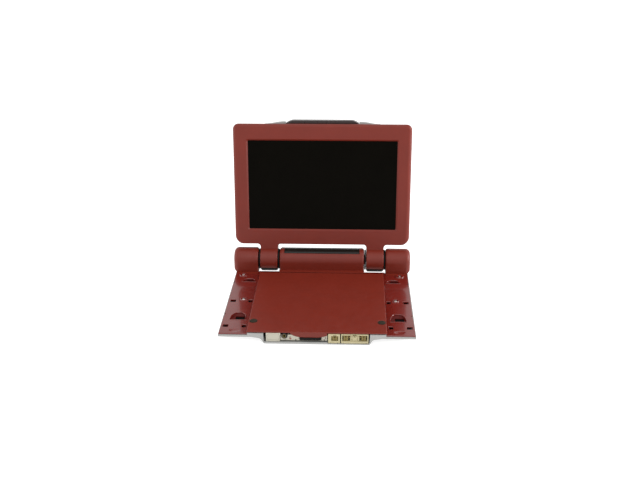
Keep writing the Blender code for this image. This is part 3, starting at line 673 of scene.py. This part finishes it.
def make_bay():
    block = Part(brick((-47.4, -33.9), (BAY_FACE_Y, -133), (3.7, 11.5), 0.5))
    block.add(brick((-47.4, -33.9), (BAY_FACE_Y, -141.3), (2.8, 11.5), 0.5))
    block.cut(box((-46.2, -35.1), (-146, BAY_FACE_Y + 0.3), (4.1, 10.6)), box((-34.6, -33), (-146, -143.6), (2, 8.9)))
    block.done("socket_housing", "white_plastic", "base", replaces="socket_block", edge=0.15)

    at = (-30.1, 8.6)
    back = -134.0
    loop = [(1.6, back - 3), (1.6, -144.4), (1.9, -144.6), (2.6, -144.6), (2.9, -144.3)]
    loop += [(2.9, back), (0.9, back), (0.9, back - 3)]
    mesh_piece("jack_body", ring("Y", at, loop), "black_gloss", "base", replaces="headphone_jack")
    collar = [(1.2, -143.9), (1.2, -144.5), (1.6, -144.6), (1.59, -143.9)]
    mesh_piece("jack_ring", ring("Y", at, collar), "amber_plastic", "base", replaces="headphone_jack")

    board = Part(box((-33.6, 9.9), (-142.4, -141.4), (2.75, 9.4)))
    board.add(box((-33.6, -16.4), (-143.2, -142.3), (3.4, 9.2)), box((4.9, 9.9), (-143.2, -142.3), (3.4, 9.2)))
    board.cut(cylinder("Y", at, 3.0, -144, -141), cylinder("Y", (-29.4, 4.3), 0.55, -144, -142.8, 24))
    board.done("front_panel_board", "white_plastic", "base", replaces="front_board", edge=0.1)
    for k, (x, z, width) in enumerate(((-24.9, 6.9, 1.0), (-19.4, 4.1, 1.0), (7.2, 4.3, 1.2), (8.4, 6.4, 0.8))):
        chip = brick((x - width / 2, x + width / 2), (-143.6, -143.15), (z - 0.35, z + 0.35), 0.12)
        mesh_piece(f"front_chip_{k + 1}", chip, "black_matte", "base", replaces="front_board")

    led = pillow("Y", rounded(-25.3, -23.7, 4.6, 6.0, 0.65, steps=6), -143.7, -143.0, low_r=0.35)
    mesh_piece("led_window", led, "led_lens", "base", replaces="status_led")

    latch = Part(pillow("Y", rounded(-15.8, 4.4, 4.3, 6.9, 1.2, 0.4), BAY_FACE_Y, -143.3, low_r=0.35))
    latch.cut(*(box((-11.6 + 2.4 * k, -11.1 + 2.4 * k), (-146, -144.4), (4.9, 6.1)) for k in range(6)))
    latch.done("latch_slider", "gap_black", "latch", replaces="lid_latch", edge=0.0)

    sockets = (
        ("two_pin", (10.7, 21.9), (13.7, 20.3), (4.1, 9.3), -142.4, -141.2, 2),
        ("six_pin", (22.8, 48.4), (23.9, 47.3), (3.9, 10.2), -139.4, -137.9, 6),
    )
    for name, x, cavity, z, floor, rear, pins in sockets:
        body = Part(brick(x, (BAY_FACE_Y, rear), (3.7, 11.2), 0.45))
        body.add(brick(x, (BAY_FACE_Y, -141.2), (1.7, 11.2), 0.45))
        mid = sum(cavity) / 2
        body.cut(
            box(cavity, (-146, floor), z),
            box((mid - 1.6, mid + 1.6), (-146, floor + 0.01), (z[1] - 0.1, z[1] + 0.7)),
            *(box((c - 0.35, c + 0.35), (-146, BAY_FACE_Y + 0.8), (1.5, 2.3)) for c in (x[0] + 2.2, x[1] - 2.2)),
        )
        body.done(f"socket_{name}", "cream_plastic", "base", replaces=f"connector_{name}", edge=0.12)
        if pins == 2:
            posts = ((mid - 2.6, mid + 2.6),)
        else:
            posts = ((cavity[0] + 1.2, cavity[0] + 5.4), (cavity[1] - 5.4, cavity[1] - 1.2))
        for k, post in enumerate(posts):
            insert = Part(brick(post, (BAY_FACE_Y + 0.9, floor - 0.02), (z[0] + 0.02, z[1] - 0.3), 0.3))
            middle = sum(post) / 2
            insert.cut(
                box((middle - 0.75, middle + 0.75), (-146, -143), (z[1] - 2.2, z[1] - 0.9)),
                box((middle - 0.25, middle + 0.25), (-146, -143.2), (z[0], z[1] - 2.0)),
            )
            title = f"socket_{name}_insert_{k + 1}"
            insert.done(title, "amber_plastic", "base", replaces=f"connector_{name}", edge=0.1)
        if pins > 2:
            key = Part(brick((mid - 4.2, mid + 4.2), (BAY_FACE_Y + 0.7, floor - 0.02), (z[0] + 0.02, z[1] - 1.0), 0.3))
            key.cut(
                box((mid - 0.7, mid + 0.7), (-146, -142.8), (z[1] - 2.4, z[1])),
                *(box((x0, x0 + 1.2), (-146, -143.4), (z[0] + 0.9, z[1] - 1.9)) for x0 in (mid - 3.2, mid + 2.0)),
            )
            key.done(f"socket_{name}_key", "cream_plastic", "base", replaces=f"connector_{name}", edge=0.1)
        for k in range(pins):
            px = (mid + (-3.3, 3.3)[k]) if pins == 2 else mid + (-10.2, -6.6, -5.0, 5.0, 6.6, 10.2)[k]
            reach = 1.4 if pins == 2 else 3.6
            pin = loft(
                "Y", (floor - reach, rounded(px - 0.18, px + 0.18, 7.0, 7.5, 0.05, steps=2)),
                (floor - reach + 0.4, rounded(px - 0.36, px + 0.36, 6.85, 7.65, 0.06, steps=2)),
                (floor - 0.3, rounded(px - 0.36, px + 0.36, 6.85, 7.65, 0.06, steps=2)),
            )
            mesh_piece(f"{name}_contact_{k + 1}", pin, "brass", "base", replaces=f"connector_{name}")


# ---------------------------------------------------------------- drive and electronics


def make_drive():
    profile = [(1.0, 4.35), (1.0, 7.85), (13.3, 7.8), (13.5, 8.0), (13.5, 8.75), (13.3, 8.9), (7.6, 8.9), (7.3, 9.1)]
    profile += [(7.3, 10.1), (6.9, 10.6), (6.2, 11.0), (1.2, 11.0), (1.0, 10.6), (0.05, 10.6)]
    hub = Part(turned("Z", (0, DISC_Y), profile, 96))
    slots = ((5.2 * math.cos(a), DISC_Y + 5.2 * math.sin(a)) for a in CATCH_TURNS)
    hub.cut(*(box((x - 0.9, x + 0.9), (y - 0.9, y + 0.9), (9.6, 11.2)) for x, y in slots))
    hub.done("turntable_hub", "black_matte", "turntable", replaces="turntable", edge=0.12, segments=1)
    for k, a in enumerate(CATCH_TURNS):
        ball = bmesh.new()
        bmesh.ops.create_uvsphere(ball, u_segments=24, v_segments=16, radius=0.85)
        bmesh.ops.translate(ball, vec=(5.3 * math.cos(a), DISC_Y + 5.3 * math.sin(a), 10.35), verts=ball.verts)
        mesh_piece(f"hub_catch_{k + 1}", ball, "steel", "turntable", replaces="turntable")
    loop = [(8.4, 9.2), (8.4, 9.45), (8.6, 9.6), (12.9, 9.6), (13.2, 9.45), (13.2, 9.2)]
    mesh_piece("turntable_mat", ring("Z", (0, DISC_Y), loop, 96), "rubber", "turntable", replaces="turntable_pad")

    sled = Part(box((-26.6, 26.6), (-67.6, -48), (2.6, 5.3)))
    sled.add(pillow("Z", rounded(-21.5, 14, -66.8, -49, 2.5), 5.0, 6.9, high_r=0.5))
    sled.cut(
        *(cylinder("Y", (side * 24.8, 4.0), 1.05, -69, -47, 24) for side in (1, -1)),
        cylinder("Y", LEAD_SCREW_AXIS, 1.4, -69, -47, 24),
        cylinder("Z", (0, LENS_Y), 5.2, 6.3, 8, 48),
        box((-12, -7), (-63, -52), (6.3, 8)),
    )
    sled.done("sled_body", "black_matte", "pickup", replaces="pickup_sled", edge=0.2)
    cover = Part(pillow("Z", rounded(5.9, 13.2, -64.5, -51, 1.2), 6.95, 7.15))
    cover.done("sled_cover", "steel", "pickup", replaces="pickup_sled", edge=0.06)
    profile = [(0.05, 7.3), (3.0, 7.3), (3.0, 7.85), (2.8, 8.0), (2.2, 8.02), (2.0, 7.95), (1.5, 8.12), (0.8, 8.2)]
    glass = turned("Z", (0, LENS_Y), profile + [(0.05, 8.22)], 64)
    mesh_piece("lens_glass", glass, "optical_lens", "lens", replaces="objective_lens")

    # The thread is a row of ridges with the screw's own pitch.
    turns = 20
    pitch = 61.2 / turns
    thread = []
    for k in range(turns):
        y = -70.8 + pitch * k
        thread += [(0.85, y), (0.85, y + 0.35 * pitch), (1.1, y + 0.5 * pitch), (1.1, y + 0.8 * pitch)]
    screw = turned("Y", LEAD_SCREW_AXIS, thread + [(0.85, -9.65), (0.3, -9.6)], 24)
    mesh_piece("lead_thread", screw, "steel", "lead_screw", replaces="lead_screw")

    for side, word in SIDES:
        x, y = side * SPEAKER_AT[0], SPEAKER_AT[1]
        # Each speaker cone is black, darkened further as painted shade of the deep slit over it.
        cone = Part(pillow("Z", rounded(x - 9.3, x + 9.3, y - 7.3, y + 7.3, 5.8), 3.7, 5.6, high_r=0.4))
        cone.cut(loft("Z", (4.6, circle((x, y), 2.4)), (5.2, circle((x, y), 4.6)), (5.8, circle((x, y), 5.8))))
        cone.add(turned("Z", (x, y), [(2.2, 4.4), (2.2, 4.9), (1.5, 5.3), (0.05, 5.45)], 32))
        cone.done(f"speaker_cone_{word}", "grille_and_painted_shade", "base", replaces=f"speaker_{word}", edge=0.0)

    board = box((-47, 47), (-141.0, -99), (2.5, 3.5))
    mesh_piece("circuit_main", board, "circuit_board", "base", replaces="main_board", edge=0.12)
    chips = ((-30, -128, 9, 9), (-8, -122, 12, 12), (16, -130, 7, 5), (30, -112, 8, 5))
    chips += ((-34, -108, 6, 4), (4, -106, 5, 5))
    for k, (x, y, width, depth) in enumerate(chips):
        chip = brick((x - width / 2, x + width / 2), (y - depth / 2, y + depth / 2), (3.52, 4.9), 0.25)
        mesh_piece(f"chip_{k + 1}", chip, "black_matte", "base", replaces="main_board")


# ---------------------------------------------------------------- screen housing


def make_bezel():
    edge = [(FACE_Y + depth, housing(distance, 0.05, 0.6)) for distance, depth in quarter(4.5, 3.5, 8)]
    sides = [(0.8, housing(0, high=0.3)), (BEZEL_BACK_Y - 0.25, housing(0.35)), (BEZEL_BACK_Y, housing(0.6))]
    bezel = Part(loft("Y", *edge, *sides))
    fillet = 3.4
    for side in (1, -1):
        x0, x1 = span(side, *ARM_X)
        foot = SCREEN_Z[0]
        neck = [(x0, 5.0), (x1, 5.0)] + arc((x1 + fillet, foot - fillet), fillet, 180, 90, 8)
        neck += [(x1 + fillet, foot + 3.2), (x0 - fillet, foot + 3.2)]
        neck += arc((x0 - fillet, foot - fillet), fillet, 90, 0, 8)
        barrel = [(x0 + d, circle((0, 0), KNUCKLE_R - e, 96)) for e, d in quarter(1.3)]
        barrel += [(x1 - d, circle((0, 0), KNUCKLE_R - e, 96)) for e, d in reversed(quarter(1.3))]
        bezel.add(
            pillow("Y", neck, FACE_Y, BEZEL_BACK_Y - 0.1, low_r=1.0),
            prism("Y", rounded(x0, x1, 5.0, foot - 0.3, 1.0), FACE_Y + 2, 7.5),
            loft("X", *barrel),
        )
    x0, x1, z0, z1 = WINDOW
    window = rounded(x0, x1, z0, z1, 0.9, steps=4)
    slope = ((-1, -2.6), (0, -1.9), (0.4, -1.5), (1.7, -0.1))
    flare = loft("Y", *((FACE_Y + y, inset(window, grow)) for y, grow in slope), (BEZEL_BACK_Y - 0.5, window))
    bezel.cut(prism("Y", housing(2.2), FACE_Y + 1.5, BEZEL_BACK_Y + 1), flare)
    for side, word in SIDES:
        x0, x1 = span(side, *ARM_X)
        # A black lining on the lower side of each barrel is painted shade: it stands in for the shade under the arm in
        # its slot.
        pocket = arc((0, 0), 10.9, *SHADE_LINER_TURN, 32) + arc((0, 0), 14.0, *reversed(SHADE_LINER_TURN), 32)
        bezel.cut(cylinder("X", (0, 0), 3.3, *span(side, 46, 67.5), 32), prism("X", pocket, x0 - 1, x1 + 1))
        start, end = SHADE_LINER_TURN[0] + 1.2, SHADE_LINER_TURN[1] - 1.2
        rise = ((11.0, 0.2), (11.8, 0.3), (12.6, 1.3), (12.8, 2.2))
        profile = [(radius, x0 + x) for radius, x in rise] + [(radius, x1 - x) for radius, x in reversed(rise)]
        sector = [(0, 0)] + arc((0, 0), 16.0, start, end, 32)
        shade_liner = Part(turned("X", (0, 0), profile, 128))
        shade_liner.combine("INTERSECT", [prism("X", sector, x0 - 1, x1 + 1)])
        shade_liner.cut(cylinder("X", (0, 0), 11.0, x0 - 1, x1 + 1, 128))
        shade_liner.done(f"arm_painted_shade_liner_{word}", "gap_black", "screen", SCREEN, replaces="front_bezel", edge=0.0)
    bezel.done("bezel_frame", "red_matte", "screen", SCREEN, replaces="front_bezel", edge=0.25, corner=40)


def make_cover():
    rise = ((0.6, 2.7), (0.45, 2.95), (0.45, 3.8), (0.6, 5.0), (1.0, 6.3), (2.2, 7.5), (4.2, 8.6), (7.2, 9.45))
    rise += ((11.0, 9.95), (15.5, 10.2))
    cover = Part(loft("Y", *((y, housing(distance)) for distance, y in rise)))
    top = SCREEN_Z[1]
    hill = [(60, top - 8), (60, top - 0.6)]
    hill += [(60 - 20.5 * k / 12, top - 0.6 + 2.4 * (1 - math.cos(math.pi * k / 12)) / 2) for k in range(1, 13)]
    cover.add(pillow("Y", mirrored(hill), 3.6, 9.2, low_r=0.6, high_r=1.6))
    cover.add(pillow("Y", rounded(-38.6, 38.6, 22, top + 1.6, 3.0), 7, 10.2, high_r=0.8))
    cover.cut(
        loft("Y", (2.4, housing(1.8)), (5.5, housing(2.2)), (8.8, housing(14))),
        box((-38.3, 38.3), (2.8, 11), (145.0, 151)),
    )
    cover.done("cover_shell", "silver_grey", "screen", SCREEN, replaces="back_cover", edge=0.2, corner=45)

    low, crest = SCREEN_Z[1] - 0.9, BAND_TOP_Z - 0.4
    half = [(38.0, low), (38.0, crest - 3.0), (37.2, crest - 2.4)]
    half += [(34.6, crest - 1.2), (32.8, crest - 0.4), (30.8, crest)]
    band = Part(pillow("Y", mirrored(half), 3.1, 12.1, low_r=0.5, high_r=0.5, steps=3))
    band.add(pillow("Y", rounded(-37.5, 37.5, 24, SCREEN_Z[1] + 0.4, 4.0, 1.2), 10.5, 12.4, high_r=0.8))
    band.cut(
        prism("Y", rounded(-36.5, 36.5, 20, SCREEN_Z[1] + 0.6, 3.0), 4.5, 10.4),
        box((-39, 39), (9.2, 10.3), (20, 144.8)),
    )
    band.done("band_shell", "band_black", "screen", SCREEN, replaces="centre_band", edge=0.2)


def make_screen():
    make_bezel()
    make_cover()
    panel = pillow("Y", rounded(-82.4, 82.4, 32.05, 132.05, 0.8, steps=3), FACE_Y + 1.8, 0.6, low_r=0.25)
    mesh_piece("lcd_glass_panel", panel, "lcd_glass", "screen", SCREEN, replaces="lcd_panel")


# ---------------------------------------------------------------- CAD pieces that stay

# The finish of each CAD node that stays and isn't steel.
KEPT = {
    "backlight": "white_plastic",
    "screen_board": "circuit_board",
    "battery_pack": "battery_wrap",
    **{f"rubber_damper_{k}": "rubber" for k in range(1, 5)},
    **{f"hinge_bush_{place}_{word}": "gap_black" for place in ("inner", "outer") for word in ("left", "right")},
}


def in_metres(finish):
    """The same finish for a CAD mesh, whose own coordinates are metres and not millimetres."""
    made = FINISHES[finish].copy()
    made.name = f"{finish}_cad"
    for texture in made.node_tree.nodes:
        if texture.type in ("TEX_NOISE", "TEX_VORONOI"):
            texture.inputs["Scale"].default_value *= 1000
    return made


def keep_cad():
    finishes = {finish: in_metres(finish) for finish in ("steel", *sorted(set(KEPT.values())))}
    for name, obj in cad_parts.items():
        if obj.hide_render or obj.type != "MESH":
            continue
        obj.data.materials.clear()
        obj.data.materials.append(finishes[KEPT.get(name, "steel")])
        bevel = obj.modifiers.new("Edges", "BEVEL")
        bevel.width = 0.00012
        bevel.segments = 2
        bevel.limit_method = "ANGLE"
        bevel.angle_limit = math.radians(40)


# ---------------------------------------------------------------- stage


def make_stage():
    mesh = bpy.data.meshes.new("floor")
    half, z = 9.0, -0.0001
    mesh.from_pydata([(-half, -half, z), (half, -half, z), (half, half, z), (-half, half, z)], [], [(0, 1, 2, 3)])
    floor = bpy.data.objects.new("floor", mesh)
    scene.collection.objects.link(floor)
    paper = bpy.data.materials.new("pale_paper")
    paper.use_nodes = True
    tree = paper.node_tree
    shader = tree.nodes["Principled BSDF"]
    shader.inputs["Roughness"].default_value = 0.9
    shader.inputs["Specular IOR Level"].default_value = 0.1
    shader.inputs["Emission Color"].default_value = (1, 1, 1, 1)
    shader.inputs["Emission Strength"].default_value = 0.7
    coords = node(tree, "ShaderNodeTexCoord")
    ramp = node(tree, "ShaderNodeValToRGB")
    ramp.color_ramp.elements[0].color = (0.60, 0.60, 0.60, 1)
    ramp.color_ramp.elements[1].color = (0.64, 0.64, 0.64, 1)
    tree.links.new(noise(tree, coords, 3.0), ramp.inputs["Fac"])
    tree.links.new(ramp.outputs["Color"], shader.inputs["Base Color"])
    mesh.materials.append(paper)

    world = bpy.data.worlds.new("studio")
    scene.world = world
    world.use_nodes = True
    world.node_tree.nodes["Background"].inputs["Color"].default_value = (1, 1, 1, 1)
    world.node_tree.nodes["Background"].inputs["Strength"].default_value = 0.95
    for name, place, size, power in (
        ("overhead", (0.0, 0.1, 1.5), 1.6, 3.6),
        ("front", (-0.1, -0.6, 0.72), 0.7, 1.8),
        ("right", (0.95, 0.0, 0.35), 0.5, 9.0),
        ("left", (-0.95, 0.0, 0.35), 0.5, 2.5),
    ):
        light = bpy.data.lights.new(name, "AREA")
        light.shape = "SQUARE"
        light.size = size
        light.energy = power
        obj = bpy.data.objects.new(name, light)
        obj.location = place
        obj.rotation_euler = (Vector((0, 0, 0.06)) - Vector(place)).to_track_quat("-Z", "Y").to_euler()
        scene.collection.objects.link(obj)
    scene.view_settings.view_transform = "Standard"


def make_camera():
    yaw, pitch, roll = math.radians(-2.31), math.radians(24.02), math.radians(-0.29)
    forward = Vector((math.sin(yaw) * math.cos(pitch), math.cos(yaw) * math.cos(pitch), -math.sin(pitch)))
    right = Vector((math.cos(yaw), -math.sin(yaw), 0))
    up = right.cross(forward)
    right, up = math.cos(roll) * right + math.sin(roll) * up, -math.sin(roll) * right + math.cos(roll) * up
    data = bpy.data.cameras.new("camera")
    data.lens = 47.8125
    data.sensor_width = 36
    data.clip_start = 0.01
    camera = bpy.data.objects.new("camera", data)
    scene.collection.objects.link(camera)
    turn = Matrix((right, up, -forward)).transposed().to_4x4()
    camera.matrix_world = Matrix.Translation((0.031343, -0.772919, 0.412559)) @ turn
    scene.camera = camera


make_housing()
make_wings()
make_lid()
make_case()
make_fasteners()
make_bay()
make_drive()
make_screen()
keep_cad()
make_stage()
make_camera()
